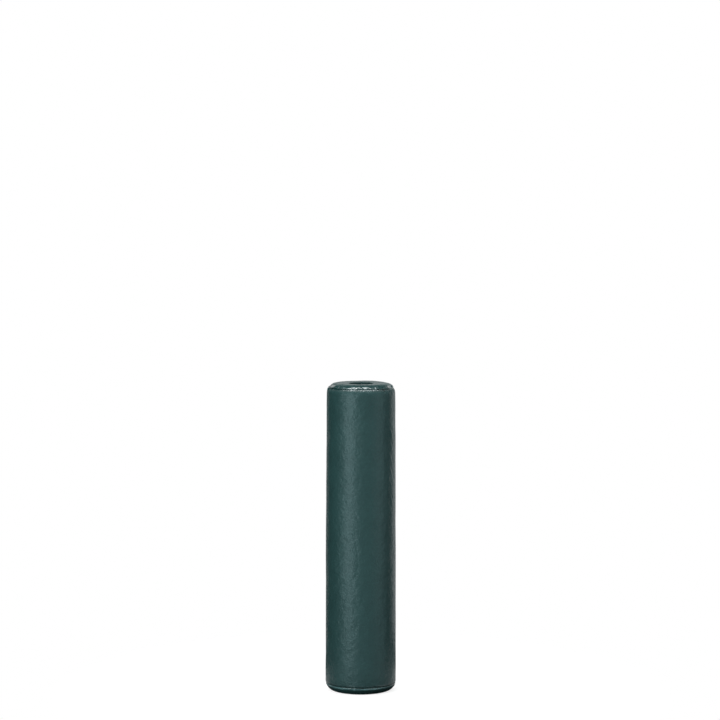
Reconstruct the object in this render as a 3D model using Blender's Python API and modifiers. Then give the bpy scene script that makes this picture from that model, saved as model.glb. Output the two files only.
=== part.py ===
# Goal post pad: two half-round foam cushions in sewn vinyl, which close round an upright tube.
# Their side panels meet along the front, where the vinyl bends as a hinge. At the back, a flap
# with hook and loop tape covers the split.
# Metres, +Z up, front towards -Y. The origin is on the bore's axis, level with the foot.
import math

import bmesh
import bpy
from mathutils import Vector

# Whole pad
pad_height = 1.829
shoulder_radius = 0.201
foot_radius = 0.208
tube_radius = 0.07065
tube_clearance = 0.0025

# Rounded ends: how far each edge's curve runs up the side, and in over the end
top_edge_height = 0.058
top_edge_depth = 0.056
foot_edge_height = 0.060
foot_edge_depth = 0.045
top_dip_at_bore = 0.003

# Seams between the side panel and the end panels, which draw the vinyl in
top_seam_drop = 0.024
foot_seam_rise = 0.044
seam_draw = 0.0028
seam_reach = 0.008

# Thicknesses, and the gaps left between pieces that touch
vinyl = 0.0008
firm_foam_thickness = 0.045
fit_gap = 0.0003
split_gap = 0.0004

# Closure at the back: widths are measured round the side from the split
flap_end_margin = 0.010
flap_hinge_offset = 0.003
flap_layers = 0.0016
flap_ramp = 0.018
flap_pull_edge = 0.018
hem_width = 0.035
tape_start = 0.030
tape_width = 0.050
tape_end_margin = 0.004
loop_tape_thickness = 0.0012
hook_tape_thickness = 0.0012

# Vent eyelets, two at the back of each half
eyelet_bore_radius = 0.0030
eyelet_barrel_wall = 0.0008
eyelet_flange_radius = 0.0068
eyelet_flange_height = 0.0012
eyelet_hole_clearance = 0.0004
eyelet_flap_clearance = 0.010
eyelet_end_margin = 0.045

# Faceting: every round piece has the same steps, so that nested shells keep their gaps
half_turn_steps = 24
edge_steps = 6
crown_steps = 4
strip_step = 0.007
eyelet_steps = 16
hole_steps = 20
weld_distance = 0.00001
sharp_angle = math.radians(35)

# Worked out from the sizes above
bore_radius = tube_radius + tube_clearance
crown_radius = shoulder_radius - top_edge_depth
skin = vinyl + fit_gap
firm_inner_radius = bore_radius + skin
firm_outer_radius = firm_inner_radius + firm_foam_thickness
soft_inner_radius = firm_outer_radius + fit_gap
side_bottom = foot_edge_height
side_top = pad_height - top_edge_height
top_seam = pad_height - top_seam_drop
foot_seam = foot_seam_rise
facet_angle = math.pi / half_turn_steps
flap_bottom = side_bottom + flap_end_margin
flap_top = side_top - flap_end_margin
flap_end = tape_start + tape_width + flap_pull_edge
hook_tape_lift = fit_gap + loop_tape_thickness + fit_gap
flap_lift = hook_tape_lift + hook_tape_thickness + fit_gap
barrel_radius = eyelet_bore_radius + eyelet_barrel_wall
hole_cutter_depth = 4 * skin


def clear_scene():
    for obj in list(bpy.data.objects):
        bpy.data.objects.remove(obj, do_unlink=True)


def new_collection(name):
    collection = bpy.data.collections.new(name)
    bpy.context.scene.collection.children.link(collection)
    return collection


def new_material(name, colour, roughness, metallic=0.0):
    material = bpy.data.materials.new(name)
    material.use_nodes = True
    shader = material.node_tree.nodes["Principled BSDF"]
    shader.inputs["Base Color"].default_value = (*colour, 1.0)
    shader.inputs["Roughness"].default_value = roughness
    shader.inputs["Metallic"].default_value = metallic
    return material


def straight_radius(height):
    """The side's radius, which grows a little towards the foot, where the foam has settled."""
    share = (height - side_bottom) / (side_top - side_bottom)
    return foot_radius + (shoulder_radius - foot_radius) * share


def edge_curve(share):
    """How far a rounded edge has curved in at this share of its height, as a quarter ellipse."""
    return 1 - math.sqrt(max(0.0, 1 - share * share))


def skin_radius(height):
    """The cover's outer radius on the side and its two rounded edges, drawn in at each seam."""
    if height < side_bottom:
        share = (side_bottom - height) / foot_edge_height
        radius = foot_radius - foot_edge_depth * edge_curve(share)
    elif height > side_top:
        share = (height - side_top) / top_edge_height
        radius = shoulder_radius - top_edge_depth * edge_curve(share)
    else:
        radius = straight_radius(height)
    for seam in (foot_seam, top_seam):
        radius -= seam_draw * math.exp(-(((height - seam) / seam_reach) ** 2))
    return radius


def side_profile():
    """The side panel's section, from its top seam down to its foot seam."""
    high, low = top_seam - fit_gap / 2, foot_seam + fit_gap / 2
    heights = {side_top, side_bottom}
    for reach in (0.0, 0.6, 1.2, 2.2):
        heights |= {high - seam_reach * reach, low + seam_reach * reach}
    heights = sorted((height for height in heights if low <= height <= high), reverse=True)
    return [(skin_radius(height), height) for height in heights]


def edge_profile(seam, end):
    """An end panel's section from its seam to where its rounded edge lies flat."""
    steps = [math.pi / 2 * k / edge_steps for k in range(edge_steps + 1)]
    heights = [end + (seam - end) * math.cos(step) ** 2 for step in steps]
    return [(skin_radius(height), height) for height in heights]


def crown_profile(start, stop, depth=0.0):
    """The top between two radii, dipping towards the bore, or a surface this far below it."""
    points = []
    for k in range(crown_steps + 1):
        radius = start + (stop - start) * k / crown_steps
        share = max(0.0, (crown_radius - radius) / (crown_radius - bore_radius))
        points.append((radius, pad_height - depth - top_dip_at_bore * share * share))
    return points


def inset(points, depth):
    """A section moved this far to its left, square to itself."""
    moved = []
    for index, point in enumerate(points):
        before = Vector(points[max(index - 1, 0)])
        after = Vector(points[min(index + 1, len(points) - 1)])
        along = (after - before).normalized()
        moved.append(tuple(Vector(point) + depth * Vector((-along.y, along.x))))
    return moved


def cushion_section(inner_radius):
    """A cushion's section inside its vinyl, out to the side and in to this radius."""
    foot = edge_profile(foot_seam, 0.0)
    side = side_profile()[1:-1]
    top = edge_profile(top_seam, pad_height)
    outline = inset(foot[::-1] + side[::-1] + top[:-1], skin)
    return outline + crown_profile(crown_radius, inner_radius, skin) + [(inner_radius, skin)]


def firm_foam_section():
    top = crown_profile(firm_outer_radius, firm_inner_radius, skin)
    return [(firm_inner_radius, skin), (firm_outer_radius, skin)] + top


def add_object(name, mesh, material, collection):
    obj = bpy.data.objects.new(name, mesh)
    collection.objects.link(obj)
    mesh.materials.append(material)
    mesh.shade_smooth()
    mesh.set_sharp_from_angle(angle=sharp_angle)
    return obj


def add_thickness(obj, thickness, offset):
    shell = obj.modifiers.new("thickness", "SOLIDIFY")
    shell.thickness = thickness
    shell.offset = offset
    shell.use_even_offset = True


def vinyl_panel(name, profile, material, collection):
    """A sewn panel: its outer section, top to bottom, turned half round and thickened inwards."""
    mesh = bpy.data.meshes.new(name)
    points = [(radius, 0.0, height) for radius, height in profile]
    mesh.from_pydata(points, [(k, k + 1) for k in range(len(points) - 1)], [])
    obj = add_object(name, mesh, material, collection)
    turn = obj.modifiers.new("half_turn", "SCREW")
    turn.angle = math.pi
    turn.steps = half_turn_steps
    turn.render_steps = half_turn_steps
    add_thickness(obj, vinyl, -1.0)
    return obj


def half_round_foam(name, section, material, collection):
    """Foam turned half round, then cut back from the split to leave room for the facings."""
    bm = bmesh.new()
    face = bm.faces.new([bm.verts.new((radius, 0.0, height)) for radius, height in section])
    bmesh.ops.spin(
        bm,
        geom=[face, *face.edges, *face.verts],
        cent=(0, 0, 0),
        axis=(0, 0, 1),
        angle=math.pi,
        steps=half_turn_steps,
    )
    bmesh.ops.recalc_face_normals(bm, faces=bm.faces)
    cut = bmesh.ops.bisect_plane(
        bm,
        geom=[*bm.verts, *bm.edges, *bm.faces],
        plane_co=(0, skin, 0),
        plane_no=(0, 1, 0),
        clear_inner=True,
    )
    rim = [item for item in cut["geom_cut"] if isinstance(item, bmesh.types.BMEdge)]
    bmesh.ops.edgeloop_fill(bm, edges=rim)
    bmesh.ops.recalc_face_normals(bm, faces=bm.faces)
    mesh = bpy.data.meshes.new(name)
    bm.to_mesh(mesh)
    bm.free()
    return add_object(name, mesh, material, collection)


def split_facing(name, end, material, collection):
    """The flat vinyl that closes a half at one end of its half turn; end is 1 at +X, -1 at -X."""
    section = cushion_section(firm_inner_radius)
    mesh = bpy.data.meshes.new(name)
    points = [(end * radius, 0.0, height) for radius, height in section]
    mesh.from_pydata(points, [], [range(len(points))])
    obj = add_object(name, mesh, material, collection)
    add_thickness(obj, vinyl, -end)
    return obj


def on_side(distance, lift, height):
    """The point this far round from the split at the back, and this far off the side."""
    angle = distance / foot_radius
    radius = straight_radius(height) + lift
    return Vector((radius * math.sin(angle), radius * math.cos(angle), height))


def back_strip(name, start, end, lift, thickness, material, collection, margin=0.0):
    """A strip up the back that follows the side's slight taper. lift is a height off the side,
    or a function that gives it from the distance round. margin shortens it at both ends."""
    bm = bmesh.new()
    steps = math.ceil((end - start) / strip_step)
    bmesh.ops.create_grid(bm, x_segments=steps, y_segments=1, size=0.5)
    low, high = flap_bottom + margin, flap_top - margin
    for vert in bm.verts:
        distance = start + (end - start) * (vert.co.x + 0.5)
        height = low + (high - low) * (vert.co.y + 0.5)
        off_side = lift(distance) if callable(lift) else lift
        vert.co = on_side(distance, off_side, height)
    mesh = bpy.data.meshes.new(name)
    bm.to_mesh(mesh)
    bm.free()
    obj = add_object(name, mesh, material, collection)
    add_thickness(obj, thickness, -1.0)
    return obj


def flap_under(distance):
    """The flap's under face climbs from its sewn edge to lie over the two tapes."""
    ramp_end = tape_start - strip_step
    share = 1 - (ramp_end - distance) / flap_ramp
    return fit_gap + (flap_lift - fit_gap) * min(1.0, max(0.0, share))


def eyelet_places():
    """Each eyelet's angle from the split, on the middle of a facet past the flap, and height."""
    reach = flap_end + eyelet_flap_clearance + eyelet_flange_radius
    facet = math.ceil(reach / (facet_angle * shoulder_radius)) + 0.5
    low, high = side_bottom + eyelet_end_margin, side_top - eyelet_end_margin
    return {"low": (facet * facet_angle, low), "high": (facet * facet_angle, high)}


def facet_point(angle, height, lift):
    """A point off the middle of a facet of the side, which lies a little inside the circle."""
    radius = straight_radius(height) * math.cos(facet_angle / 2) + lift
    return Vector((radius * math.sin(angle), radius * math.cos(angle), height))


def eyelet_mesh():
    """A brass eyelet's section: a rounded flange on the vinyl and a barrel through it."""
    mesh = bpy.data.meshes.new("eyelet")
    half_height = eyelet_flange_height / 2
    profile = [
        (barrel_radius, eyelet_flange_height),
        (eyelet_flange_radius - half_height, eyelet_flange_height),
        (eyelet_flange_radius, half_height),
        (eyelet_flange_radius, 0.0),
        (barrel_radius, 0.0),
        (barrel_radius, -skin),
        (eyelet_bore_radius, -skin),
        (eyelet_bore_radius, half_height),
    ]
    count = len(profile)
    points = [(radius, 0.0, height) for radius, height in profile]
    mesh.from_pydata(points, [(k, (k + 1) % count) for k in range(count)], [])
    return mesh


def place(obj, carrier, location, rotation=(0.0, 0.0, 0.0)):
    """Put an object at a place in the pad's frame, carried by an empty that isn't turned."""
    obj.parent = carrier
    obj.location = Vector(location) - carrier.location
    obj.rotation_euler = rotation


def add_eyelets(half, side, carrier, shift, panel, material, parts, cutters):
    """The half's two eyelets, and the holes for their barrels in its side panel."""
    shared = eyelet_mesh()
    for level, (angle, height) in eyelet_places().items():
        facing_out = (-math.pi / 2, 0.0, -side * angle)
        eyelet = add_object(f"vent_eyelet_{half}_{level}", shared.copy(), material, parts)
        turn = eyelet.modifiers.new("turn", "SCREW")
        turn.steps = eyelet_steps
        turn.render_steps = eyelet_steps
        turn.use_merge_vertices = True
        turn.merge_threshold = weld_distance
        place(eyelet, carrier, facet_point(side * angle, height, fit_gap) + shift, facing_out)

        radius = barrel_radius + eyelet_hole_clearance
        bpy.ops.mesh.primitive_cylinder_add(
            vertices=hole_steps, radius=radius, depth=hole_cutter_depth
        )
        cutter = bpy.context.object
        cutter.name = f"vent_hole_{half}_{level}"
        for home in list(cutter.users_collection):
            home.objects.unlink(cutter)
        cutters.objects.link(cutter)
        cutter.hide_render = True
        cutter.display_type = "WIRE"
        place(cutter, carrier, facet_point(side * angle, height, 0.0) + shift, facing_out)
        hole = panel.modifiers.new(cutter.name, "BOOLEAN")
        hole.operation = "DIFFERENCE"
        hole.object = cutter
    bpy.data.meshes.remove(shared)


def add_cushion(half, side, carrier, materials, parts, cutters):
    """One half: two foams in five vinyl panels and two facings. side is 1 right, -1 left."""
    vinyl_colour = materials["vinyl"]
    top = crown_profile(bore_radius, crown_radius)[:-1]
    top += edge_profile(top_seam + fit_gap / 2, pad_height)[::-1]
    foot = edge_profile(foot_seam - fit_gap / 2, 0.0) + [(bore_radius, 0.0)]
    liner = [(bore_radius, skin), (bore_radius, pad_height - top_dip_at_bore - skin)]
    soft = cushion_section(soft_inner_radius)
    pieces = {
        "soft_foam": half_round_foam(f"soft_foam_{half}", soft, materials["soft_foam"], parts),
        "firm_foam": half_round_foam(
            f"firm_foam_{half}", firm_foam_section(), materials["firm_foam"], parts
        ),
        "side_panel": vinyl_panel(f"side_panel_{half}", side_profile(), vinyl_colour, parts),
        "top_panel": vinyl_panel(f"top_panel_{half}", top, vinyl_colour, parts),
        "foot_panel": vinyl_panel(f"foot_panel_{half}", foot, vinyl_colour, parts),
        "bore_liner": vinyl_panel(f"bore_liner_{half}", liner, vinyl_colour, parts),
        "back_facing": split_facing(f"back_facing_{half}", -side, vinyl_colour, parts),
        "front_facing": split_facing(f"front_facing_{half}", side, vinyl_colour, parts),
    }
    shift = Vector((side * split_gap / 2, 0, 0))
    for piece in pieces.values():
        place(piece, carrier, shift, (0.0, 0.0, -side * math.pi / 2))
    panel = pieces["side_panel"]
    add_eyelets(half, side, carrier, shift, panel, materials["brass"], parts, cutters)


def add_closure(left_half, right_half, flap_hinge, materials, parts):
    """The hem sewn to the left half, the flap that lifts beside it, and the two tapes."""
    vinyl_colour, tape_colour = materials["vinyl"], materials["tape"]
    hem_end = -flap_hinge_offset - fit_gap / 2
    flap_start = -flap_hinge_offset + fit_gap / 2
    tape = (tape_start, tape_start + tape_width)

    hem = back_strip(
        "flap_hem", hem_end - hem_width, hem_end, fit_gap, flap_layers, vinyl_colour, parts
    )
    flap = back_strip(
        "closure_flap", flap_start, flap_end, flap_under, flap_layers, vinyl_colour, parts
    )
    hook_sizes = (hook_tape_lift, hook_tape_thickness)
    loop_sizes = (fit_gap, loop_tape_thickness)
    hook = back_strip("hook_tape", *tape, *hook_sizes, tape_colour, parts, tape_end_margin)
    loop = back_strip("loop_tape", *tape, *loop_sizes, tape_colour, parts, tape_end_margin)

    shift = Vector((split_gap / 2, 0, 0))
    place(hem, left_half, -shift)
    place(flap, flap_hinge, (0, 0, 0))
    place(hook, flap_hinge, (0, 0, 0))
    place(loop, right_half, shift)


def add_empty(name, location, collection):
    empty = bpy.data.objects.new(name, None)
    empty.location = location
    collection.objects.link(empty)
    return empty


def build():
    clear_scene()
    parts = new_collection("goal_post_pad")
    cutters = new_collection("cutters")
    materials = {
        "vinyl": new_material("green_vinyl", (0.023, 0.051, 0.051), 0.42),
        "soft_foam": new_material("soft_foam", (0.72, 0.70, 0.62), 0.95),
        "firm_foam": new_material("firm_foam", (0.10, 0.10, 0.11), 0.90),
        "tape": new_material("hook_and_loop_tape", (0.012, 0.014, 0.014), 0.90),
        "brass": new_material("brass", (0.62, 0.45, 0.18), 0.32, metallic=1.0),
    }
    flap_edge = on_side(-flap_hinge_offset, fit_gap + flap_layers, flap_bottom)
    left_half = add_empty("left_half", (0, 0, 0), parts)
    right_half = add_empty("front_hinge", (0, -foot_radius, 0), parts)
    flap_hinge = add_empty("flap_hinge", flap_edge, parts)
    add_cushion("left", -1, left_half, materials, parts, cutters)
    add_cushion("right", 1, right_half, materials, parts, cutters)
    add_closure(left_half, right_half, flap_hinge, materials, parts)


build()
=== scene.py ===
import math

import bmesh
import bpy
import numpy as np
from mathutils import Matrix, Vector


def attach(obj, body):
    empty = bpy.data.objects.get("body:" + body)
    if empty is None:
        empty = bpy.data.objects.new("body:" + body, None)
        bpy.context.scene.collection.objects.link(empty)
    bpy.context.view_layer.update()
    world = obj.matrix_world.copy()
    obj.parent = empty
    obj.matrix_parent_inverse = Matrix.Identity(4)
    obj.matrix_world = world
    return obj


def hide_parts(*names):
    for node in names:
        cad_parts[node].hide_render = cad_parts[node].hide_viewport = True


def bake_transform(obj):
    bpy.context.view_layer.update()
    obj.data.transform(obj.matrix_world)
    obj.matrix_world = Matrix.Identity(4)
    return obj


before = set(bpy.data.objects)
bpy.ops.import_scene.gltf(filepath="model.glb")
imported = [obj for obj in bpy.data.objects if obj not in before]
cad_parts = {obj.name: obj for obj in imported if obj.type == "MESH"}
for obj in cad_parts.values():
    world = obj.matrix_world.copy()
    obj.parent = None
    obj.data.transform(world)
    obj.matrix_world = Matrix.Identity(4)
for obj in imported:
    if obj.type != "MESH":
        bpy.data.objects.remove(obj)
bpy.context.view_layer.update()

# Firm foam cores: two half rings of closed-cell foam next to the tube, cut from one block and
# glued into the soft foam. They keep the pad from bottoming out on a hard hit.
bore_radius = 0.07315
pad_height = 1.829
firm_foam_outer = 0.1188
halves = {"left": -1, "right": 1}


class Link:
    """A socket in a material, so that shader maths reads as an expression on values."""

    def __init__(self, tree, socket=None):
        self.tree, self.socket = tree, socket

    def node(self, kind, sockets=None, output=0, **settings):
        """A node of this type. Its settings are set first, then its sockets' values or links."""
        made = self.tree.nodes.new("ShaderNode" + kind)
        for name, value in settings.items():
            setattr(made, name, value)
        for name, value in (sockets or {}).items():
            if isinstance(value, Link):
                self.tree.links.new(value.socket, made.inputs[name])
            else:
                made.inputs[name].default_value = value
        return Link(self.tree, made.outputs[output])

    def math(self, operation, *values):
        return self.node("Math", dict(enumerate(values)), operation=operation)

    def __add__(self, other):
        return self.math("ADD", self, other)

    def __sub__(self, other):
        return self.math("SUBTRACT", self, other)

    def __rsub__(self, other):
        return self.math("SUBTRACT", other, self)

    def __mul__(self, other):
        return self.math("MULTIPLY", self, other)

    __radd__, __rmul__ = __add__, __mul__

    def between(self, low, high):
        """This value moved from 0..1 to low..high."""
        return self * (high - low) + low

    def over(self, low, high):
        """0 below low, 1 above high, and smooth between."""
        ends = {"From Min": low, "From Max": high, "Value": self}
        return self.node("MapRange", ends, interpolation_type="SMOOTHSTEP")

    def mix(self, first, second):
        """The first colour where this value is 0, the second where it is 1."""
        sockets = {"Factor": self, 6: first, 7: second}
        return self.node("Mix", sockets, output=2, data_type="RGBA")

    def place(self):
        """Where a point lies in the pad's own frame."""
        return self.node("TexCoord", output="Object")

    def noise(self, scale, detail=2.0, roughness=0.5, stretch=(1, 1, 1)):
        """Soft noise in the pad's own frame, its bumps about 1 / scale metres long."""
        sized = self.node("VectorMath", {0: self.place(), 1: stretch}, operation="MULTIPLY")
        sockets = {"Vector": sized, "Scale": scale, "Detail": detail, "Roughness": roughness}
        return self.node("TexNoise", sockets)

    def cells(self, scale, feature="SMOOTH_F1"):
        """Distance to the nearest of many scattered points, for grain and foam cells."""
        return self.node("TexVoronoi", {"Vector": self.place(), "Scale": scale}, feature=feature)


def finish_of(name, colour, roughness, relief, coat=None, **fixed):
    """A material. Its colour, roughness and coat are functions that take a link and return one,
    relief is pairs of such a function and its depth in metres, and fixed sets other sockets."""
    material = bpy.data.materials.new(name)
    material.use_nodes = True
    tree = material.node_tree
    shader = tree.nodes["Principled BSDF"]
    start = Link(tree)
    for socket, value in fixed.items():
        shader.inputs[socket.replace("_", " ")].default_value = value
    for socket, made_by in (("Base Color", colour), ("Roughness", roughness), ("Coat Weight", coat)):
        if made_by:
            tree.links.new(made_by(start).socket, shader.inputs[socket])
    normal = None
    for height, depth in relief:
        sockets = {"Height": height(start), "Distance": depth, "Strength": 1.0}
        if normal:
            sockets["Normal"] = normal
        normal = start.node("Bump", sockets)
    tree.links.new(normal.socket, shader.inputs["Normal"])
    return material


def add_object(name, data):
    """An object in the scene that holds this mesh, lamp or lens."""
    made = bpy.data.objects.new(name, data)
    bpy.context.scene.collection.objects.link(made)
    return made


def add_mesh(name, points, faces, material=None):
    mesh = bpy.data.meshes.new(name)
    mesh.from_pydata(np.asarray(points).reshape(-1, 3).tolist(), [], faces)
    if material:
        mesh.materials.append(material)
    return add_object(name, mesh)


def add_piece(name, points, faces, material, normals=None):
    """A mesh piece in the pad's frame, smooth shaded, with its finish."""
    piece = add_mesh(name, points, faces, material)
    piece.data.shade_smooth()
    if normals is not None:
        piece.data.normals_split_custom_set_from_vertices(normals.tolist())
    return piece


def quads(rows, columns, closed=False):
    """The faces over a grid of points, whose last column may meet its first."""
    faces = []
    for row in range(rows - 1):
        for column in range(columns if closed else columns - 1):
            after = (column + 1) % columns
            low, high = row * columns, (row + 1) * columns
            faces.append((low + column, low + after, high + after, high + column))
    return faces


def close_up(piece, weld=0.0, sharp=0.0):
    """Join points that are nearer than weld, turn the faces outward, and keep edges that turn
    by more than sharp degrees unsmoothed."""
    bm = bmesh.new()
    bm.from_mesh(piece.data)
    if weld:
        bmesh.ops.remove_doubles(bm, verts=bm.verts, dist=weld)
    bmesh.ops.recalc_face_normals(bm, faces=bm.faces)
    bm.to_mesh(piece.data)
    bm.free()
    if sharp:
        piece.data.set_sharp_from_angle(angle=math.radians(sharp))


def foam_core(name, section, side, material):
    """A foam section, turned half round and closed at both ends of the half turn."""
    steps, margin = 64, 0.0022
    points = []
    for step in range(steps + 1):
        for radius, height in section:
            inset = math.asin(margin / radius)
            angle = inset + (math.pi - 2 * inset) * step / steps
            points.append((side * radius * math.sin(angle), radius * math.cos(angle), height))
    count = len(section)
    faces = quads(steps + 1, count, closed=True)
    faces += [tuple(range(count)), tuple(range(steps * count, (steps + 1) * count))[::-1]]
    piece = add_piece(name, points, faces, material)
    close_up(piece, sharp=40)
    return piece


firm_foam = finish_of(
    "firm_foam",
    lambda start: start.cells(900).over(0.1, 0.7).mix((0.055, 0.055, 0.060, 1), (0.105, 0.105, 0.110, 1)),
    lambda start: start.noise(60).between(0.82, 0.95),
    [(lambda start: start.cells(700), 0.0004)],
)
corner_width, corner_depth = 0.003, 0.004
firm_section = [
    (radius + corner_width * math.cos(turn), height + corner_depth * math.sin(turn))
    for radius, height, start in (
        (bore_radius + 0.005, 0.006, 270),
        (bore_radius + 0.005, pad_height - 0.012, 180),
        (firm_foam_outer - 0.003, pad_height - 0.010, 90),
        (firm_foam_outer - 0.003, 0.006, 0),
    )
    for turn in np.radians([start, start - 45, start - 90])
]
for half, side in halves.items():
    core = foam_core(f"firm_core_{half}", firm_section, side, firm_foam)
    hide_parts(f"firm_foam_{half}")
    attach(core, f"{half}_half")

# Soft foam cores: the thick open-cell half rings that take the blow, their ends shaved round
# so that the cover lies over them without a corner. The cover is pulled over them tight.
foot_radius, shoulder_radius = 0.208, 0.201
foot_edge_height, foot_edge_depth = 0.060, 0.045
top_edge_height, top_edge_depth = 0.058, 0.056
foot_flat, top_flat = foot_radius - foot_edge_depth, shoulder_radius - top_edge_depth
side_top = pad_height - top_edge_height
crown_dip = 0.003
flat_rows, edge_rows, side_rows = 29, 40, 400


def cover_line():
    """The cover's section: from the bore's lower rim out, up the side and in to its upper rim,
    as the length run so far, radius, height, and the way out from it."""
    turn = np.linspace(0, math.pi / 2, edge_rows)
    radii = [
        np.linspace(bore_radius, foot_flat, flat_rows + 1)[:-1],
        foot_flat + foot_edge_depth * np.sin(turn),
        np.linspace(foot_radius, shoulder_radius, side_rows)[1:-1],
        top_flat + top_edge_depth * np.cos(turn),
        np.linspace(top_flat, bore_radius, flat_rows + 1)[1:],
    ]
    heights = [
        np.zeros(flat_rows),
        foot_edge_height * (1 - np.cos(turn)),
        np.linspace(foot_edge_height, side_top, side_rows)[1:-1],
        side_top + top_edge_height * np.sin(turn),
        pad_height - crown_dip * np.linspace(0, 1, flat_rows + 1)[1:] ** 2,
    ]
    radius, height = np.concatenate(radii), np.concatenate(heights)
    run = np.concatenate([[0], np.cumsum(np.hypot(np.diff(radius), np.diff(height)))])
    along_r, along_z = np.gradient(radius, run), np.gradient(height, run)
    size = np.hypot(along_r, along_z)
    return run, radius, height, along_z / size, -along_r / size


line_run, line_radius, line_height, line_out_r, line_out_z = cover_line()


def run_at_height(height):
    """How far along the section the side or a rounded edge reaches this height."""
    return float(np.interp(height, line_height[flat_rows:-flat_rows], line_run[flat_rows:-flat_rows]))


def cover_section(run, roll=0.0):
    """Radius and height of the cover this far along its section, moved in by roll."""
    radius = np.interp(run, line_run, line_radius) - roll * np.interp(run, line_run, line_out_r)
    height = np.interp(run, line_run, line_height) - roll * np.interp(run, line_run, line_out_z)
    return radius, height


seam_heights = {"foot": 0.044, "top": 1.805}
seam_runs = {end: run_at_height(height) for end, height in seam_heights.items()}


def foam_section(inner, depth, seam_depth):
    """The soft foam's outline inside the cover: this far in, and further at each seam."""
    inner_run = float(np.interp(inner, line_radius[:flat_rows], line_run[:flat_rows]))
    end_run, side_run, seam_width = 0.18, 0.20, 0.012
    runs = np.concatenate([
        np.linspace(inner_run, end_run, 34),
        np.linspace(side_run, line_run[-1] - side_run, 40),
        np.linspace(line_run[-1] - end_run, line_run[-1] - (inner - bore_radius), 34),
    ])
    sewn = sum(np.exp(-(((runs - seam) / seam_width) ** 2)) for seam in seam_runs.values())
    return list(zip(*cover_section(runs, depth + seam_depth * sewn)))


soft_foam = finish_of(
    "soft_foam",
    lambda start: start.noise(40, 4).over(0.3, 0.7).mix((0.66, 0.62, 0.50, 1), (0.76, 0.73, 0.63, 1)),
    lambda start: start.noise(30).between(0.9, 1.0),
    [(lambda start: start.cells(450), 0.0006), (lambda start: start.noise(1500), 0.0003)],
)
soft_section = foam_section(firm_foam_outer + 0.001, 0.0035, 0.0050)
for half, side in halves.items():
    core = foam_core(f"soft_core_{half}", soft_section, side, soft_foam)
    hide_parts(f"soft_foam_{half}")
    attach(core, f"{half}_half")

# Bore lining: the vinyl next to the tube, a half pipe in each half, sewn to the covers of both
# ends just inside the bore's rims. It lies slack on the firm foam, in shallow upright folds.
split_gap = 0.00004
rim_roll = 0.0020
edge_steps = np.array([0.0, 0.00015, 0.0005, 0.0011, 0.0020])


def ripple(angle, height, across, along, seed):
    """Smooth random relief of about -1 to 1. Its bumps are this long round the pad and up it."""
    reach, gain = 2.4, 1.9
    columns = max(4, round(2 * math.pi * foot_radius / across))
    rows = int(reach / along) + 6
    lattice = np.random.default_rng(seed).uniform(-1, 1, (rows, columns))
    angle, height = np.broadcast_arrays(angle, height)
    total = np.zeros(angle.shape)
    spans = []
    for value in (height / along + 2, (angle / (2 * math.pi) % 1) * columns):
        cell = np.floor(value).astype(int)
        part = value - cell
        shares = (
            (1 - part) ** 3 / 6,
            (3 * part**3 - 6 * part**2 + 4) / 6,
            (-3 * part**3 + 3 * part**2 + 3 * part + 1) / 6,
            part**3 / 6,
        )
        spans.append((cell, shares))
    (row, row_shares), (column, column_shares) = spans
    for i in range(4):
        for j in range(4):
            value = lattice[(row + i - 1) % rows, (column + j - 1) % columns]
            total += row_shares[i] * column_shares[j] * value
    return total * gain


def inside(value, ends, fade):
    """0 at both ends and beyond them, rising to 1 over this distance inside them."""
    return np.clip(np.minimum(value - ends[0], ends[1] - value) / fade, 0, 1)


def edge_roll(distance, size):
    """How far a sewn edge has rolled in at this distance from it."""
    near = np.clip(1 - distance / size, 0, 1)
    return size * (1 - np.sqrt(1 - near**2))


def split_columns(radius, columns):
    """Angles from the back split to the front one: close to each split they keep a fixed
    distance from it at every radius, and between them they are evenly spread."""
    near = np.arcsin((split_gap + edge_steps) / radius)
    even = np.linspace(0, math.pi, columns + 1)[2:-2]
    return np.concatenate([near, even, math.pi - near[::-1]])


def face_outward(piece, middle_of):
    """Turn the faces so that their normals point away from middle_of(point)."""
    face = max(piece.data.polygons, key=lambda item: item.area)
    if face.normal.dot(face.center - Vector(middle_of(face.center))) < 0:
        piece.data.flip_normals()


def vinyl_grain(start):
    return start.cells(620).over(0.05, 0.75) * 0.7 + start.noise(1300, 3) * 0.6


def vinyl_colour(start):
    patches = start.noise(9, 4, 0.6).over(0.3, 0.7)
    fine = start.noise(140, 3).over(0.35, 0.65) * 0.5 + start.cells(620) * 0.5
    return (patches * 0.6 + fine * 0.4).mix((0.0085, 0.0295, 0.0292, 1), (0.0120, 0.0385, 0.0380, 1))


def vinyl_roughness(start):
    return (start.noise(24, 3) * 0.6 + start.noise(300) * 0.4).between(0.33, 0.47)


vinyl_relief = [
    (vinyl_grain, 0.00022),
    (lambda start: start.noise(70, 3, 0.55), 0.0021),
    (lambda start: start.noise(28), 0.0042),
]
vinyl_gloss = {"Specular_IOR_Level": 0.3, "Specular_Tint": (0.70, 0.95, 1.0, 1.0)}
plain_vinyl = finish_of("plain_vinyl", vinyl_colour, vinyl_roughness, vinyl_relief, **vinyl_gloss)

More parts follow.
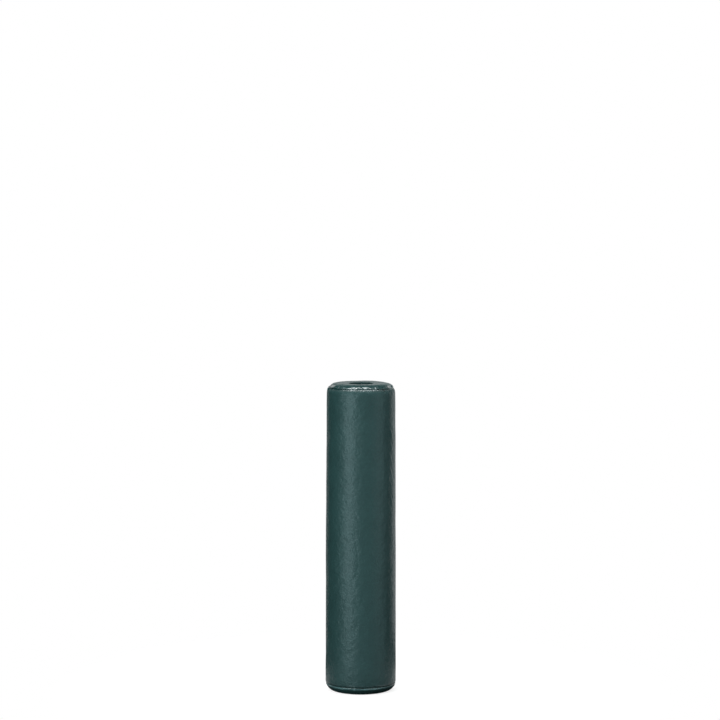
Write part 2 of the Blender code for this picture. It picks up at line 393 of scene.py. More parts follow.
fold_depth, dent_depth = 0.0009, 0.0004
lining_heights = np.concatenate([
    [rim_roll],
    np.arange(0.010, pad_height - 0.008, 0.012),
    [pad_height - crown_dip - rim_roll],
])
for half, side in halves.items():
    angle, height = np.meshgrid(split_columns(bore_radius, 44), lining_heights)
    folds = 0.5 + 0.5 * ripple(angle, height, 0.09, 0.30, 11 + side)
    dents = 0.5 + 0.5 * ripple(angle, height, 0.05, 0.05, 21 + side)
    slack = inside(height, (0, pad_height), 0.03) * (fold_depth * folds + dent_depth * dents)
    from_split = bore_radius * np.sin(angle) - split_gap
    radius = bore_radius + slack + edge_roll(from_split, rim_roll)
    points = np.stack([side * radius * np.sin(angle), radius * np.cos(angle), height], axis=-1)
    lining = add_piece(f"lining_{half}", points, quads(*angle.shape), plain_vinyl)
    face_outward(lining, lambda point: (point.x * 3, point.y * 3, point.z))
    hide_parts(f"bore_liner_{half}")
    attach(lining, f"{half}_half")

# Sewn covers: coated vinyl in a side panel and two end panels, sewn face to face and turned,
# so that each seam lies in a groove. The thread gathers the vinyl into short puckers there.
ring_columns = 432
row_step = 0.0026
seam_steps = np.array([0.0, 0.0007, 0.0016, 0.0028, 0.0044, 0.0064, 0.0088])
seam_steps = np.concatenate([seam_steps, np.arange(0.0114, 0.046, row_step)])
foot_run, top_run = seam_runs["foot"], seam_runs["top"]
gather_reach = 0.047
roll_sizes = {"back": 0.0018, "front": 0.0005}
flap_span = (-0.0385, 0.0985)
closure_heights = (0.068, 1.763)
facet_angle = math.pi / 24
eyelet_places = {
    (half, level): (side * 5.5 * facet_angle, height)
    for half, side in halves.items()
    for level, height in (("low", 0.105), ("high", 1.726))
}


def at_height(start, height, near, far):
    """1 within the near distance of this height on the pad, and 0 from the far one on."""
    level = start.node("SeparateXYZ", {"Vector": start.place()}, output="Z")
    return 1 - start.math("ABSOLUTE", level - height).over(near, far)


def drawn_tight(start):
    """1 where the vinyl is drawn tight over the two seams, 0 away from them."""
    foot = at_height(start, seam_heights["foot"] - 0.004, 0.008, 0.022)
    return foot + at_height(start, seam_heights["top"] + 0.002, 0.010, 0.019)


def vinyl_colour_with_painted_highlight(start):
    """The vinyl's colour, with a pale band painted along the fold below the foot's seam: a painted
    highlight where that fold catches the light.
    """
    lip = at_height(start, seam_heights["foot"] - 0.0075, 0.0030, 0.0065)
    # painted highlight: a pale band just below the foot's seam, put into the vinyl's colour
    painted_highlight = lip * start.noise(38).over(0.15, 0.55)
    return painted_highlight.mix(vinyl_colour(start), (0.055, 0.125, 0.130, 1))


green_vinyl = finish_of(
    "green_vinyl",
    # the cover's colour carries a painted highlight along the fold below the foot's seam
    vinyl_colour_with_painted_highlight,
    lambda start: vinyl_roughness(start) * drawn_tight(start).between(1.0, 0.72),
    vinyl_relief,
    coat=lambda start: drawn_tight(start) * start.noise(45).between(0.55, 0.90),
    Coat_Roughness=0.20,
    **vinyl_gloss,
)


def gathered(seam, strength, seed):
    """How the vinyl lies either side of a seam: as cloth, a little longer round the pad than
    the thread that holds it, over foam that presses it out. Moves out, round and along."""
    runs = seam + np.arange(-gather_reach, gather_reach + 0.001, row_step)
    radius, height = (line[:, None] for line in cover_section(runs))
    out_r, out_z = (np.interp(runs, line_run, line)[:, None] for line in (line_out_r, line_out_z))
    angles = 2 * np.pi * np.arange(ring_columns) / ring_columns
    from_seam = np.abs(runs - seam)[:, None]

    def ring(longer, lift):
        across = radius * (1 + longer) + lift * out_r
        up = height + lift * out_z + 0 * across
        return np.stack([across * np.sin(angles), across * np.cos(angles), up], axis=-1)

    held = (from_seam < 0.0007) | (from_seam > gather_reach - 0.003)
    uneven = 0.0004 * ripple(angles[None, :], runs[:, None], 0.016, 0.012, seed)
    patches = 1 + 0.6 * ripple(angles, 0.0, 0.07, 1.0, seed + 1)
    longer = 0.08 * np.exp(-((from_seam / 0.018) ** 2)) * patches
    sewn, cut = ring(0 * longer, 0 * uneven), ring(longer, uneven)
    caps = [[0, 0, height[0, 0]], [0, 0, height[-1, 0]]]
    faces = quads(len(runs), ring_columns, closed=True)
    last = len(runs) * ring_columns
    upper = last - ring_columns
    for column in range(ring_columns):
        after = (column + 1) % ring_columns
        faces += [(last, after, column), (last + 1, upper + column, upper + after)]
    ring_piece = add_mesh("gathered", np.concatenate([cut.reshape(-1, 3), caps]), faces)
    mesh = ring_piece.data
    mesh.flip_normals()
    pins = ring_piece.vertex_groups.new(name="pins")
    pinned = (np.flatnonzero(held)[:, None] * ring_columns + np.arange(ring_columns)).ravel()
    pins.add(pinned.tolist() + [last, last + 1], 1.0, "REPLACE")
    ring_piece.shape_key_add(name="cut")
    thread = ring_piece.shape_key_add(name="sewn")
    thread.data.foreach_set("co", np.concatenate([sewn.reshape(-1, 3), caps]).astype(np.float32).ravel())
    for step, pull in ((1, 0.0), (8, 1.0)):
        thread.value = pull
        thread.keyframe_insert("value", frame=step)
    cloth = ring_piece.modifiers.new("cloth", "CLOTH")
    fabric = cloth.settings
    fabric.quality = 6
    fabric.mass = 0.3
    fabric.tension_stiffness = fabric.compression_stiffness = 15
    fabric.shear_stiffness = 7.5
    fabric.bending_stiffness = 0.5
    fabric.air_damping = 4
    fabric.vertex_group_mass = "pins"
    fabric.use_pressure = True
    fabric.uniform_pressure_force = 2.0
    fabric.effector_weights.gravity = 0
    cloth.collision_settings.use_collision = False
    cloth.collision_settings.use_self_collision = False
    settled_frame = 20
    cloth.point_cache.frame_start, cloth.point_cache.frame_end = 1, settled_frame
    for step in range(1, settled_frame + 1):
        bpy.context.scene.frame_set(step)
    settled = ring_piece.evaluated_get(bpy.context.evaluated_depsgraph_get()).to_mesh()
    ends = np.zeros(len(settled.vertices) * 3, np.float32)
    settled.vertices.foreach_get("co", ends)
    move = ends[: last * 3].reshape(sewn.shape).astype(float) - sewn
    pulling = mesh.shape_keys.animation_data.action
    bpy.data.objects.remove(ring_piece, do_unlink=True)
    bpy.data.meshes.remove(mesh)
    bpy.data.actions.remove(pulling)
    bpy.context.scene.frame_set(1)
    reach_out = move[..., 0] * np.sin(angles) + move[..., 1] * np.cos(angles)
    around = move[..., 0] * np.cos(angles) - move[..., 1] * np.sin(angles)
    out = reach_out * out_r + move[..., 2] * out_z
    along = -reach_out * out_z + move[..., 2] * out_r
    farthest = 0.0045
    out = out - 0.65 * out.mean(axis=1, keepdims=True)
    out = farthest * np.tanh(out / farthest)
    fade = np.where(runs < seam, *strength)[:, None]
    fade = fade * np.exp(-((np.maximum(from_seam - 0.008, 0) / 0.014) ** 2))
    fade = fade * (1 - 0.8 * np.exp(-((from_seam / 0.0035) ** 2)))
    return runs, np.stack([out, around, along], axis=-1) * fade[..., None]


def between_columns(relief, angle):
    """A row of relief at these angles, from its values on evenly spaced ones."""
    spot = (angle / (2 * math.pi) % 1) * ring_columns
    low = np.floor(spot).astype(int)
    part = (spot - low)[:, None]
    return relief[low % ring_columns] * (1 - part) + relief[(low + 1) % ring_columns] * part


seam_grooves = {"foot": (0.0050, 0.014, 0.006), "top": (0.0042, 0.012, 0.0065)}
gathers = {"foot": gathered(foot_run, (0.9, 0.3), 41), "top": gathered(top_run, (1.9, 1.1), 53)}


def drag_marks(signed, height):
    """A row of short slanting folds down the front right, fainter towards the foot, where the
    vinyl drags on the foam. Each is a low ridge with a shallow dent beside it."""
    marks, highest, spacing, middle_angle = 9, 1.545, 0.079, 2.09
    ridge_width, dent_width, dent_offset, half_length = 0.0065, 0.008, 0.012, 0.034
    relief = 0 * height
    for mark in range(marks):
        down, round_side = height - (highest - spacing * mark), (signed - middle_angle) * foot_radius
        across, length = 0.45 * down - 0.89 * round_side, 0.89 * down + 0.45 * round_side
        ridge = np.exp(-((across / ridge_width) ** 2))
        dent = 0.6 * np.exp(-(((across - dent_offset) / dent_width) ** 2))
        depth = 0.0021 - 0.00014 * mark
        relief += depth * (ridge - dent) * np.exp(-((length / half_length) ** 2))
    return relief


def cover_points(angles, runs, rolled=("back", "front")):
    """The cover's points at these angles and lengths along its section, with its seams drawn
    in, its puckers and dents, and the edges that meet at a split rolled in."""
    radius, height = (line[:, None] for line in cover_section(runs))
    out_r, out_z = (np.interp(runs, line_run, line)[:, None] for line in (line_out_r, line_out_z))
    angle, radius, height = np.broadcast_arrays(angles, radius, height)
    signed = (angle + math.pi) % (2 * math.pi) - math.pi
    out = inside(runs, (foot_run, top_run), 0.10)[:, None] * (
        0.00055 * ripple(angle, height, 0.055, 0.080, 3)
        + 0.00030 * ripple(angle, height, 0.030, 0.038, 4)
        + 0.00110 * ripple(angle, height, 0.160, 0.260, 5)
    )
    crown = np.clip((height - side_top - 0.052) / 0.005, 0, 1)
    crown_angle = angle * radius / 0.12
    out = out + crown * (
        0.00035 * ripple(crown_angle, radius, 0.030, 0.022, 6)
        + 0.00060 * ripple(crown_angle, radius, 0.090, 0.060, 7)
        - 0.0006
    )
    closed = inside(signed * foot_radius, flap_span, 0.006) * inside(height, closure_heights, 0.006)
    span = np.clip((height - 0.035) / (side_top - 0.035), 0, 1)
    out = out + 0.0008 * np.clip(span / 0.03, 0, 1) + 0.0018 * np.sin(math.pi * span)
    out = out + drag_marks(signed, height)
    out = out * (1 - closed) - 0.0003 * closed
    mean_radius, flattened, dished = 0.205, 0.020, 0.009
    for spot_angle, spot_height in eyelet_places.values():
        near = ((signed - spot_angle) * mean_radius) ** 2 + (height - spot_height) ** 2
        out = out * (1 - np.exp(-near / flattened**2)) - 0.0006 * np.exp(-near / dished**2)
    around, along = 0 * out, 0 * out
    for name, seam in seam_runs.items():
        from_seam = np.abs(runs - seam)
        depth, below, above = seam_grooves[name]
        reach = np.where(runs < seam, below, above)
        out = out - (depth * np.clip(1 - from_seam / reach, 0, 1) ** 2)[:, None]
        zone_runs, relief = gathers[name]
        for row in np.flatnonzero(from_seam < gather_reach - 0.0005):
            share = (runs[row] - zone_runs[0]) / (zone_runs[1] - zone_runs[0])
            low = int(np.clip(math.floor(share), 0, len(zone_runs) - 2))
            part = share - low
            found = between_columns(relief[low] * (1 - part) + relief[low + 1] * part, angle[row])
            for moved, amount in zip((out, around, along), found.T):
                moved[row] += amount * (1 - closed[row])
    from_split = np.abs(radius * np.sin(angle)) - split_gap
    settle = np.clip(from_split / 0.006, 0, 1)
    for end in rolled:
        here = (np.cos(angle) > 0) == (end == "back")
        around = np.where(here, around * settle, around)
        rolled_in = out * (0.4 + 0.6 * settle) - edge_roll(from_split, roll_sizes[end])
        out = np.where(here, rolled_in, out)
    reached = radius + out * out_r - along * out_z
    lifted = height + out * out_z + along * out_r
    turned = angle + around / radius
    return np.stack([reached * np.sin(turned), reached * np.cos(turned), lifted], axis=-1)


def cut_pieces(points, faces, parts):
    """Cut one cover into pieces that are shaded as one. parts gives each piece's faces."""
    whole = bpy.data.meshes.new("whole")
    whole.from_pydata(points.tolist(), [], faces)
    normals = np.zeros(len(points) * 3, np.float32)
    whole.vertex_normals.foreach_get("vector", normals)
    normals = normals.reshape(-1, 3)
    bpy.data.meshes.remove(whole)
    made = {}
    for name, chosen in parts.items():
        used = sorted({corner for index in chosen for corner in faces[index]})
        place = {old: new for new, old in enumerate(used)}
        own = [tuple(place[corner] for corner in faces[index]) for index in chosen]
        made[name] = add_piece(f"cover_{name}", points[used], own, green_vinyl, normals[used])
    return made


near_back = np.arcsin((split_gap + edge_steps) / foot_radius)
even_angles = 2 * math.pi * np.arange(2, ring_columns - 1) / ring_columns
side_angles = np.concatenate([near_back, even_angles, 2 * math.pi - near_back[::-1]])
wide = len(side_angles)
every_other = slice(len(near_back) + 1, -len(near_back), 2)
coarse_columns = np.delete(np.arange(wide), every_other)
side_start, side_end = foot_run + gather_reach + 0.0005, top_run - gather_reach - 0.0005
middle_runs = np.linspace(side_start, side_end, 187)
side_runs = np.concatenate([foot_run + seam_steps, middle_runs, (top_run - seam_steps)[::-1]])
coarse_rows = range(len(seam_steps), len(side_runs) - len(seam_steps))
side_points = cover_points(side_angles, side_runs, rolled=("back",))
hole_radius, hole_sink = 0.0041, 0.0005
removed = set()
for spot_angle, spot_height in eyelet_places.values():
    row = np.argmin(np.abs(cover_section(side_runs)[1] - spot_height))
    spot = spot_angle % (2 * math.pi)
    place = np.argmin(np.abs(side_angles[coarse_columns] - spot))
    removed.add((row, coarse_columns[place]))
    radius = cover_section(side_runs[row])[0] - hole_sink
    for turn in np.arange(8) * math.pi / 4:
        angle = spot + hole_radius * math.cos(turn) / radius
        height = spot_height + hole_radius * math.sin(turn)
        up, across = round(math.sin(turn)), round(math.cos(turn))
        corner = (radius * math.sin(angle), radius * math.cos(angle), height)
        side_points[row + up, coarse_columns[place + across]] = corner

side_faces = []
for row in range(len(side_runs) - 1):
    low_coarse, high_coarse = row in coarse_rows, row + 1 in coarse_rows
    columns = (coarse_columns if low_coarse or high_coarse else np.arange(wide)).tolist()
    for first, second in zip(columns[:-1], columns[1:]):
        if {(row, first), (row, second), (row + 1, first), (row + 1, second)} & removed:
            continue
        low_first, low_second = row * wide + first, row * wide + second
        high_first, high_second = low_first + wide, low_second + wide
        if second == first + 1 or (low_coarse and high_coarse):
            side_faces.append((low_first, high_first, high_second, low_second))
        elif low_coarse:
            side_faces.append((low_first, high_first, high_first + 1))
            side_faces.append((low_first, high_first + 1, low_second))
            side_faces.append((low_second, high_first + 1, high_second))
        else:
            side_faces.append((low_first, high_first, low_first + 1))
            side_faces.append((low_first + 1, high_first, high_second))
            side_faces.append((low_first + 1, high_second, low_second))
hinge_columns = 4
hinge_angle = hinge_columns * 2 * math.pi / ring_columns
parts = {"side_right": [], "side_left": [], "hinge": []}
for index, face in enumerate(side_faces):
    angle = np.mean(side_angles[np.array(face) % wide]) - math.pi
    name = "side_right" if angle < 0 else "side_left"
    if abs(angle) < hinge_angle + 1e-6:
        name = "hinge"
    parts[name].append(index)
covers = cut_pieces(side_points.reshape(-1, 3), side_faces, parts)
for half in halves:
    cover = covers[f"side_{half}"]
    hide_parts(f"side_panel_{half}")
    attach(cover, f"{half}_half")
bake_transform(covers["hinge"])

end_runs = {
    "top": np.concatenate([
        top_run + seam_steps,
        np.linspace(top_run + 0.050, line_run[-1] - 0.0045, 24),
        (line_run[-1] - edge_steps)[::-1],
    ]),
    "foot": np.concatenate([
        edge_steps,
        np.linspace(0.0045, foot_run - 0.050, 24),
        (foot_run - seam_steps)[::-1],
    ]),
}
for end, runs in end_runs.items():
    radius = cover_section(runs)[0]
    angles = np.stack([split_columns(value, ring_columns // 2) for value in radius])
    rim = edge_roll(np.minimum(runs, line_run[-1] - runs), rim_roll)[:, None]
    for half, side in halves.items():
        points = cover_points(side * angles, runs)
        points[..., 2] += rim if end == "foot" else -rim
        piece = add_piece(f"cover_{end}_{half}", points, quads(*angles.shape), green_vinyl)
        middle = 0.03 if end == "foot" else pad_height - 0.03
        face_outward(piece, lambda point: (point.x * 0.8, point.y * 0.8, middle))
        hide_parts(f"{end}_panel_{half}")
        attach(piece, f"{half}_half")

# Split facings: flat vinyl that closes each half where the two meet, under the flap at the back
# and behind the hinge at the front, where they are pressed together and share their waves.
# Sewn in last, the vinyl puckers a little along its edges, which meet the covers' own.
hinge_inset, hinge_gap = 0.0007, 0.0002
low_corner, high_corner = run_at_height(0.0005), run_at_height(pad_height - 0.0002)
outline_runs = np.unique(np.concatenate([
    np.linspace(low_corner, run_at_height(foot_edge_height), 13),
    np.linspace(run_at_height(foot_edge_height), run_at_height(side_top), 150),
    np.linspace(run_at_height(side_top), high_corner, 13),
    foot_run + np.linspace(-0.016, 0.016, 15),
    top_run + np.linspace(-0.016, 0.016, 15),
]))
outline_runs = outline_runs[np.diff(outline_runs, prepend=-1.0) > 0.0012]


def cover_edge(end, runs):
    """How far out and how high the covers' edges lie at the back split (1) or the front (-1),
    where they end just inside the hinge's axis."""
    split = np.array([0.0 if end > 0 else math.pi])
    edge = cover_points(split, runs)[:, 0]
    if end < 0:
        unrolled = cover_points(split, runs, rolled=())[:, 0]
        unrolled[:, 1] += hinge_inset
        edge = np.where(((runs > foot_run) & (runs < top_run))[:, None], unrolled, edge)
        edge[:, 1] = np.maximum(edge[:, 1], hinge_gap - foot_radius)
    return np.abs(edge[:, 1]), edge[:, 2]


def facing(name, side, end):
    """One half's facing. end is 1 at the back split and -1 at the front one."""
    outer_radius, outer_height = (line[:, None] for line in cover_edge(end, outline_runs))
    across = np.linspace(0, 1, 19)[None, :]
    inner = bore_radius + 0.0017
    radius = inner + (outer_radius - inner) * across
    height = outer_height + 0 * across
    for low_run, high_run, start, size in (
        (rim_roll, low_corner, foot_edge_height, -foot_edge_height),
        (high_corner, line_run[-1] - rim_roll, side_top, top_edge_height),
    ):
        end_radius, end_height = cover_edge(end, np.linspace(low_run, high_run, 24))
        order = np.argsort(end_radius)
        rise = [np.interp(place, end_radius[order], end_height[order]) for place in (radius, outer_radius)]
        height = height + (rise[0] - rise[1]) * np.clip((outer_height - start) / size, 0, 1)
    seed = 31 + side + 5 * end
    from_sides = np.minimum(across, 1 - across) * (outer_radius - inner)
    from_ends = np.minimum(height, pad_height - height)
    to_edge = np.maximum(np.minimum(from_sides, from_ends), 0)
    puckers = np.exp(-to_edge / 0.010) * (0.5 + 0.5 * ripple(radius * 9, height, 0.06, 0.018, seed))
    waves = 0.5 + 0.5 * ripple(radius * 12, height, 0.6, 0.11, seed + 2)
    recess = 0.0014 * np.clip(to_edge / 0.03, 0, 1) * waves
    recess = recess + 0.0012 * puckers * np.clip(to_edge / 0.003, 0, 1)
    gap, sway = split_gap, 0
    if end < 0:
        recess = 0.1 * recess
        gap = hinge_gap
        sway = 0.0013 * np.clip(to_edge / 0.008, 0, 1) * ripple(radius * 12, height, 0.11, 0.16, 37)
    points = np.stack([side * (gap + recess) + sway, end * radius, height], axis=-1)
    return add_piece(name, points, quads(*height.shape), plain_vinyl)


for half, side in halves.items():
    for place, end in (("back", 1), ("front", -1)):
        piece = facing(f"facing_{place}_{half}", side, end)
        face_outward(piece, lambda point: (side * 0.5, point.y, point.z))
        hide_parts(f"{place}_facing_{half}")
        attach(piece, f"{half}_half")

# Vent eyelets: rolled brass eyelets in the vinyl near both ends of each half, at the back.
# They let air out of the closed cover when it is hit, and back in after.
eyelet_steps = 48
eyelet_section = np.array([
    (0.0030, -0.0010), (0.0030, 0.0003), (0.0032, 0.0008), (0.0037, 0.0011), (0.0046, 0.0012),
    (0.0056, 0.0010), (0.0064, 0.0006), (0.0068, 0.0001), (0.0067, -0.0002), (0.0050, 0.0001),
    (0.0040, 0.0000), (0.0036, -0.0010),
])


def side_radius(height):
    """The side's radius, a little larger towards the foot, where the foam has settled."""
    share = (height - foot_edge_height) / (side_top - foot_edge_height)
    return foot_radius + (shoulder_radius - foot_radius) * share


brass = finish_of(
    "brass",
    lambda start: start.noise(300, 4).over(0.35, 0.7).mix((0.62, 0.45, 0.18, 1), (0.40, 0.27, 0.10, 1)),
    lambda start: start.noise(500, 3).between(0.22, 0.42),
    [(lambda start: start.noise(900), 0.00004)],
    Metallic=1.0,
)
turns = 2 * math.pi * np.arange(eyelet_steps)[:, None] / eyelet_steps
reach, lift = eyelet_section.T
ring = np.stack([reach * np.cos(turns), reach * np.sin(turns), lift + 0 * turns], axis=-1)
count = eyelet_steps * len(eyelet_section)
faces = quads(eyelet_steps + 1, len(eyelet_section), closed=True)
faces = [tuple(corner % count for corner in face) for face in faces]
for (half, level), (angle, height) in eyelet_places.items():
    radius = side_radius(height) * math.cos(facet_angle / 2) + 0.0003
    outward = np.array([math.sin(angle), math.cos(angle), 0])
    around = np.array([math.cos(angle), -math.sin(angle), 0])
    placed = ring @ np.stack([around, (0, 0, 1), outward]) + radius * outward + (0, 0, height)
    eyelet = add_piece(f"vent_{half}_{level}", placed, faces, brass)
    close_up(eyelet)
    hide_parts(f"vent_eyelet_{half}_{level}")
    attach(eyelet, f"{half}_half")

# Closure flap: two layers of vinyl, hemmed all round, sewn to the left half along one edge
# and lying over the split. On the pad it folds back beside its sewn edge when the pad is opened;
# this script builds it lying closed.
flap_heights = (0.070, 1.761)


def sewn_strip(name, spans, heights, under, thickness, material, corner=0.0):
    """A closed strip up the back. under gives its lower face's lift and thickness its depth,
    from the distance round and the height; corner rounds its two free corners."""
    wide, length = spans[1] - spans[0], heights[1] - heights[0]
    edge_lines = np.array([0, 0.0001, 0.0004, 0.0008])
    end_lines = np.append(edge_lines, [0.003, 0.006, 0.010])
    middle_lines = np.linspace(0.004, wide - 0.004, 30)
    across = np.concatenate([edge_lines, middle_lines, (wide - edge_lines)[::-1]])
    middle_lines = np.arange(0.016, length - 0.014, 0.0075)
    up = np.concatenate([end_lines, middle_lines, (length - end_lines)[::-1]])
    distance, height = np.meshgrid(spans[0] + across, heights[0] + up)
    past = np.clip(corner - np.minimum(height - heights[0], heights[1] - height), 0, corner)
    share = (distance - spans[0]) / wide
    round_in = corner - np.sqrt(corner**2 - past**2)
    distance = distance - round_in * np.clip((share - 0.75) / 0.25, 0, 1)
    edge = np.minimum(np.minimum(across, across[::-1])[None, :], np.minimum(up, up[::-1])[:, None])
    thick = thickness(distance, height)
    middle = under(distance, height) + thick / 2
    thick = thick * np.sqrt(1 - np.clip(1 - edge / edge_lines[-1], 0, 1) ** 2)
    sheets = []
    for face in (1, -1):
        radius, angle = side_radius(height) + middle + face * thick / 2, distance / foot_radius
        sheets.append(np.stack([radius * np.sin(angle), radius * np.cos(angle), height], axis=-1))
    faces = []
    for corners in quads(*distance.shape):
        faces.append(corners[::-1])
        faces.append(tuple(corner + distance.size for corner in corners))
    piece = add_piece(name, np.stack(sheets), faces, material)
    close_up(piece, weld=0.000002, sharp=60)
    return piece


def flap_under(distance, height):
    """How far the flap lies off the side: on it at the sewn edge, then over the two tapes, and
    curled up a little along its free edge."""
    rest, tape_room, free_curl, wave_depth = 0.0003, 0.0030, 0.0026, 0.0006
    climb = np.clip((distance - 0.005) / 0.018, 0, 1)
    lift = rest + tape_room * climb * climb * (3 - 2 * climb)
    free = np.clip((distance - 0.081) / 0.017, 0, 1)
    curl = free_curl * free**1.5 * (0.45 + 0.55 * ripple(0.0, height, 0.3, 0.11, 61))
    wave = wave_depth * ripple(distance / 0.2, height, 0.05, 0.07, 62) * np.clip(distance / 0.02, 0, 1)
    return lift + curl + np.maximum(wave, -0.0002)


def flap_thickness(distance, height):
    """Two layers of vinyl, more where a hem is folded in, and less under each row of stitches."""
    sheet, fold, pull, pull_width = 0.0016, 0.0012, 0.0006, 0.002
    hem = np.clip((distance - 0.082) / 0.0015, 0, 1)
    ends = np.minimum(height - flap_heights[0], flap_heights[1] - height)
    hem = np.maximum(hem, np.clip((0.016 - ends) / 0.0015, 0, 1) * np.clip(distance / 0.02, 0, 1))
    rows = (-0.033, -0.010, 0.033, 0.077, 0.0915)
    pulled = sum(np.exp(-(((distance - row) / pull_width) ** 2)) for row in rows)
    return sheet + fold * hem - pull * pulled


flap = sewn_strip(
    "flap_sheet", (-0.03815, 0.098), flap_heights, flap_under, flap_thickness,
    plain_vinyl, corner=0.014,
)
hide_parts("closure_flap", "flap_hem")
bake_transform(flap)

# Hook and loop tapes: woven nylon, 50 mm wide, each sewn on by both of its edges: the hook
# tape under the flap and the loop tape on the right half, where the two meet.
tape_span, tape_heights = (0.030, 0.080), (0.074, 1.757)
tape_edge, tape_full, selvedge = 0.0006, 0.0012, 0.0035
tape_lifts = {"hook": 0.0018, "loop": 0.0003}
tape_reliefs = {
    "hook": [
        (lambda start: start.cells(520, "F1").over(0.05, 0.5), 0.0008),
        (lambda start: start.noise(1100, 1), 0.0003),
    ],
    "loop": [
        (lambda start: start.noise(900, 4, 0.8), 0.0010),
        (lambda start: start.noise(260, 3, 0.7), 0.0008),
    ],
}


def tape_thickness(distance, height):
    """Thin along both woven edges, and thicker between them, where the hooks or loops stand."""
    ends = (tape_span[0] + selvedge, tape_span[1] - selvedge)
    return tape_edge + (tape_full - tape_edge) * inside(distance, ends, 0.0010)


for kind, body in (("hook", "flap"), ("loop", "right_half")):
    def tape_under(distance, height):
        hooks_down = tape_full - tape_thickness(distance, height)
        return tape_lifts[kind] + (hooks_down if kind == "hook" else 0)

    woven = finish_of(
        f"{kind}_tape",
        lambda start: start.noise(400, 3).over(0.35, 0.65).mix(
            (0.011, 0.013, 0.013, 1), (0.020, 0.023, 0.023, 1)
        ),
        lambda start: start.noise(80).between(0.80, 0.95),
        tape_reliefs[kind],
        Sheen_Weight=0.15,
    )
    tape = sewn_strip(
        f"{kind}_strip", tape_span, tape_heights, tape_under, tape_thickness, woven
    )
    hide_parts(f"{kind}_tape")
    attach(tape, body)

# Stitching: rows of lockstitch in bonded nylon thread, sunk into the vinyl and the tape: along
# the flap's sewn edge and hems, and down both edges of each tape.
stitch_pitch, stitch_length = 0.0070, 0.0048
thread_radius, thread_sides = 0.00042, 6


def flap_top(distance, height):
    return side_radius(height) + flap_under(distance, height) + flap_thickness(distance, height)


def loop_tape_top(distance, height):
    return side_radius(height) + tape_lifts["loop"] + tape_thickness(distance, height)


def stitched(name, rows, surface, body):
    """Raised stitches on this surface, along rows from one (distance, height) to another."""
    starts, ways = [], []
    for first, last in rows:
        first, way = np.array(first), np.subtract(last, first)
        length = math.hypot(*way)
        way = way / length
        places = np.arange(stitch_pitch / 2, length - stitch_length, stitch_pitch)
        starts.append(first + places[:, None] * way)
        ways.append(0 * starts[-1] + way)
    starts, ways = np.concatenate(starts)[:, None], np.concatenate(ways)[:, None]
    steps = np.array([0, 0.12, 0.35, 0.65, 0.88, 1])
    line = starts + ways * (steps * stitch_length)[None, :, None]
    distance, height = line[..., 0], line[..., 1]
    bulge = np.sin(math.pi * steps)
    lift = 0.0006 * bulge - 0.0004
    radius, angle = surface(distance, height) + lift, distance / foot_radius
    outward = np.stack([np.sin(angle), np.cos(angle), 0 * angle], axis=-1)
    middle = outward * radius[..., None]
    middle[..., 2] = height
    along = middle[:, -1:] - middle[:, :1]
    along = along / np.linalg.norm(along, axis=-1, keepdims=True)
    side = np.cross(along, outward)
    turns = 2 * np.pi * np.arange(thread_sides)[:, None] / thread_sides
    thick = thread_radius * (0.55 + 0.45 * bulge)[None, :, None, None]
    points = middle[:, :, None] + thick * (
        np.cos(turns) * side[:, :, None] + 0.8 * np.sin(turns) * outward[:, :, None]
    )
    count = len(steps) * thread_sides
    shell = quads(len(steps), thread_sides, closed=True)
    shell += [tuple(range(thread_sides))[::-1], tuple(range(count - thread_sides, count))]
    faces = [
        tuple(stitch * count + corner for corner in face)
        for stitch in range(len(points))
        for face in shell
    ]
    piece = add_piece(name, points, faces, thread)
    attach(piece, body)


thread = finish_of(
    "thread",
    lambda start: start.noise(900).over(0.3, 0.7).mix((0.050, 0.125, 0.118, 1), (0.095, 0.200, 0.190, 1)),
    lambda start: start.noise(500).between(0.45, 0.60),
    [(lambda start: start.noise(2600, stretch=(1, 1, 0.3)), 0.0002)],
    Sheen_Weight=0.1,
)
low, high = flap_heights[0] + 0.012, flap_heights[1] - 0.012
rows = [((place, low), (place, high)) for place in (-0.033, -0.0105)]
stitched("stitches_flap_edge", rows, flap_top, "left_half")
rows = [((place, low), (place, high)) for place in (0.033, 0.077, 0.0915)]
rows += [((0.008, height), (0.088, height)) for height in (low - 0.004, high + 0.004)]
stitched("stitches_flap", rows, flap_top, "flap")
low, high = tape_heights[0] + 0.003, tape_heights[1] - 0.003
rows = [((place, low), (place, high)) for place in (0.0320, 0.0780)]
stitched("stitches_loop_tape", rows, loop_tape_top, "right_half")

# Studio: a pale floor that runs out into a white surround, a tall soft lamp at the front left,
# weaker ones at the right, behind and above, and a long lens that looks a little down. Black
# cards that the lens doesn't see give the pad's edges something dark to mirror.
floor_near, floor_far, floor_steps = 2.0, 400.0, 96


def shown(start):
    """1 for what is seen directly, in a mirror or through glass, and 0 for other light."""
    seen, mirrored, through = (
        start.node("LightPath", output=f"Is {ray} Ray") for ray in ("Camera", "Glossy", "Transmission")
    )
    return start.math("MAXIMUM", start.math("MAXIMUM", seen, mirrored), through)


def floor_finish():
    """Lit by the lamps near the pad, where it takes shadows, and the surround's white beyond."""
    material = bpy.data.materials.new("floor")
    material.use_nodes = True
    tree = material.node_tree
    tree.nodes.remove(tree.nodes["Principled BSDF"])
    start = Link(tree)
    away = start.node("VectorMath", {0: start.place()}, output="Value", operation="LENGTH")
    lit = start.node("BsdfDiffuse", {"Color": (0.34, 0.34, 0.34, 1)})
    glow = start.node("Emission", {"Color": (1, 1, 1, 1), "Strength": shown(start) * 0.78})
    plain = start.node("Emission", {"Color": (1, 1, 1, 1), "Strength": shown(start).between(0.5, 1.0)})
    near = start.node("AddShader", {0: lit, 1: glow})
    both = start.node("MixShader", {0: away.over(0.9, 1.9), 1: near, 2: plain})
    tree.links.new(both.socket, tree.nodes["Material Output"].inputs["Surface"])
    return material


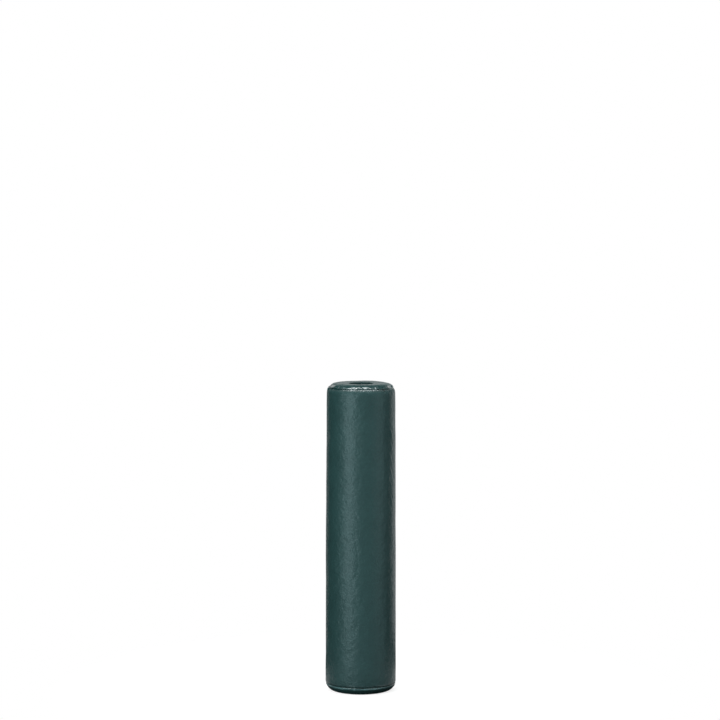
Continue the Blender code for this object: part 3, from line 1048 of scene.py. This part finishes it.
turns = 2 * np.pi * np.arange(floor_steps) / floor_steps
points = [
    (radius * math.sin(turn), radius * math.cos(turn), 0)
    for radius in (floor_near, floor_far)
    for turn in turns
]
points.append((0, 0, 0))
faces = quads(2, floor_steps, closed=True)
faces += [(2 * floor_steps, turn, (turn + 1) % floor_steps) for turn in range(floor_steps)]
floor = add_mesh("floor", points, faces, floor_finish())
floor.location.z = -0.0004

world = bpy.data.worlds.new("surround")
bpy.context.scene.world = world
world.use_nodes = True
surround = world.node_tree.nodes["Background"]
surround.inputs["Color"].default_value = (1, 1, 1, 1)
strength = shown(Link(world.node_tree)).between(0.5, 1.0)
world.node_tree.links.new(strength.socket, surround.inputs["Strength"])


def add_lamp(name, azimuth, distance, height, size, power, aim=0.95):
    """A soft panel lamp, aimed at this height on the pad's axis. Azimuth 0 is the front."""
    lamp = bpy.data.lights.new(name, "AREA")
    lamp.shape = "RECTANGLE"
    lamp.size, lamp.size_y = size
    lamp.energy = power
    panel = add_object(name, lamp)
    turn = math.radians(azimuth)
    panel.location = (distance * math.sin(turn), -distance * math.cos(turn), height)
    towards = Vector((0, 0, aim)) - panel.location
    panel.rotation_euler = towards.to_track_quat("-Z", "Y").to_euler()
    panel.visible_camera = False


add_lamp("key_lamp", -36.5, 2.2, 1.35, (0.75, 2.7), 42)
add_lamp("low_lamp", -36.5, 1.3, 0.27, (0.44, 0.5), 1.2, aim=0.2)
add_lamp("side_lamp", 62, 2.6, 1.35, (0.7, 2.5), 9)
add_lamp("rear_lamp", -166, 2.8, 0.92, (0.4, 1.7), 24)
add_lamp("rear_lamp_right", 145, 2.6, 0.92, (0.5, 1.7), 0.8)
add_lamp("top_lamp", 0, 0.45, 3.7, (2.4, 0.35), 60, aim=1.8)

card_black = bpy.data.materials.new("card_black")
card_black.use_nodes = True
tree = card_black.node_tree
shader = tree.nodes["Principled BSDF"]
shader.inputs["Base Color"].default_value = (0.02, 0.02, 0.02, 1)
shader.inputs["Roughness"].default_value = 1.0
start = Link(tree)
back = start.node("NewGeometry", output="Backfacing")
front = Link(tree, shader.outputs[0])
one_sided = start.node("MixShader", {0: back, 1: front, 2: start.node("BsdfTransparent")})
tree.links.new(one_sided.socket, tree.nodes["Material Output"].inputs["Surface"])


def dark_card(name, sweep, first, second, shades=False):
    """A bent black card that the camera doesn't see. It sweeps round the pad between two angles
    in degrees, 0 at the front, and its two long edges are given by a radius and a height."""
    points = []
    for radius, height in (first, second):
        for turn in np.radians(np.linspace(*sweep, 25)):
            points.append((radius * math.sin(turn), -radius * math.cos(turn), height))
    card = add_mesh(name, points, quads(2, len(points) // 2), card_black)
    card.visible_camera = card.visible_shadow = False
    card.visible_diffuse = shades


dark_card("card_left", (-68, -142), (1.3, 0.001), (1.3, 2.4))
dark_card("card_left_rear", (-155, -180), (1.9, 0.001), (1.9, 1.76))
dark_card("card_left_shoulder", (-142, -173), (1.9, 1.77), (1.9, 2.15))
dark_card("card_right", (119, 84), (1.5, 0.001), (1.5, 2.1))
dark_card("card_right_rear", (180, 154), (1.9, 0.001), (1.9, 1.76))
dark_card("card_left_floor", (-62, -180), (0.6, 0.0005), (1.3, 0.0005))
dark_card("card_right_floor", (180, 75), (0.75, 0.0005), (1.5, 0.0005))
dark_card("card_over", (-94, -266), (2.6, 3.2), (0.2, 4.4))
dark_card("card_foot", (-180, 180), (0.34, -0.0002), (0.17, -0.0002), shades=True)

lens = bpy.data.cameras.new("camera")
lens.sensor_width, lens.lens = 36.0, 130.0
lens.clip_end = 1000.0
camera = add_object("camera", lens)
tilt, distance, aim = math.radians(4.6), 15.327, 1.9644
camera.location = (-0.0076, -distance * math.cos(tilt), aim + distance * math.sin(tilt))
camera.rotation_euler = (math.pi / 2 - tilt, -0.0012, 0.0)
bpy.context.scene.camera = camera
bpy.context.scene.view_settings.view_transform = "Standard"
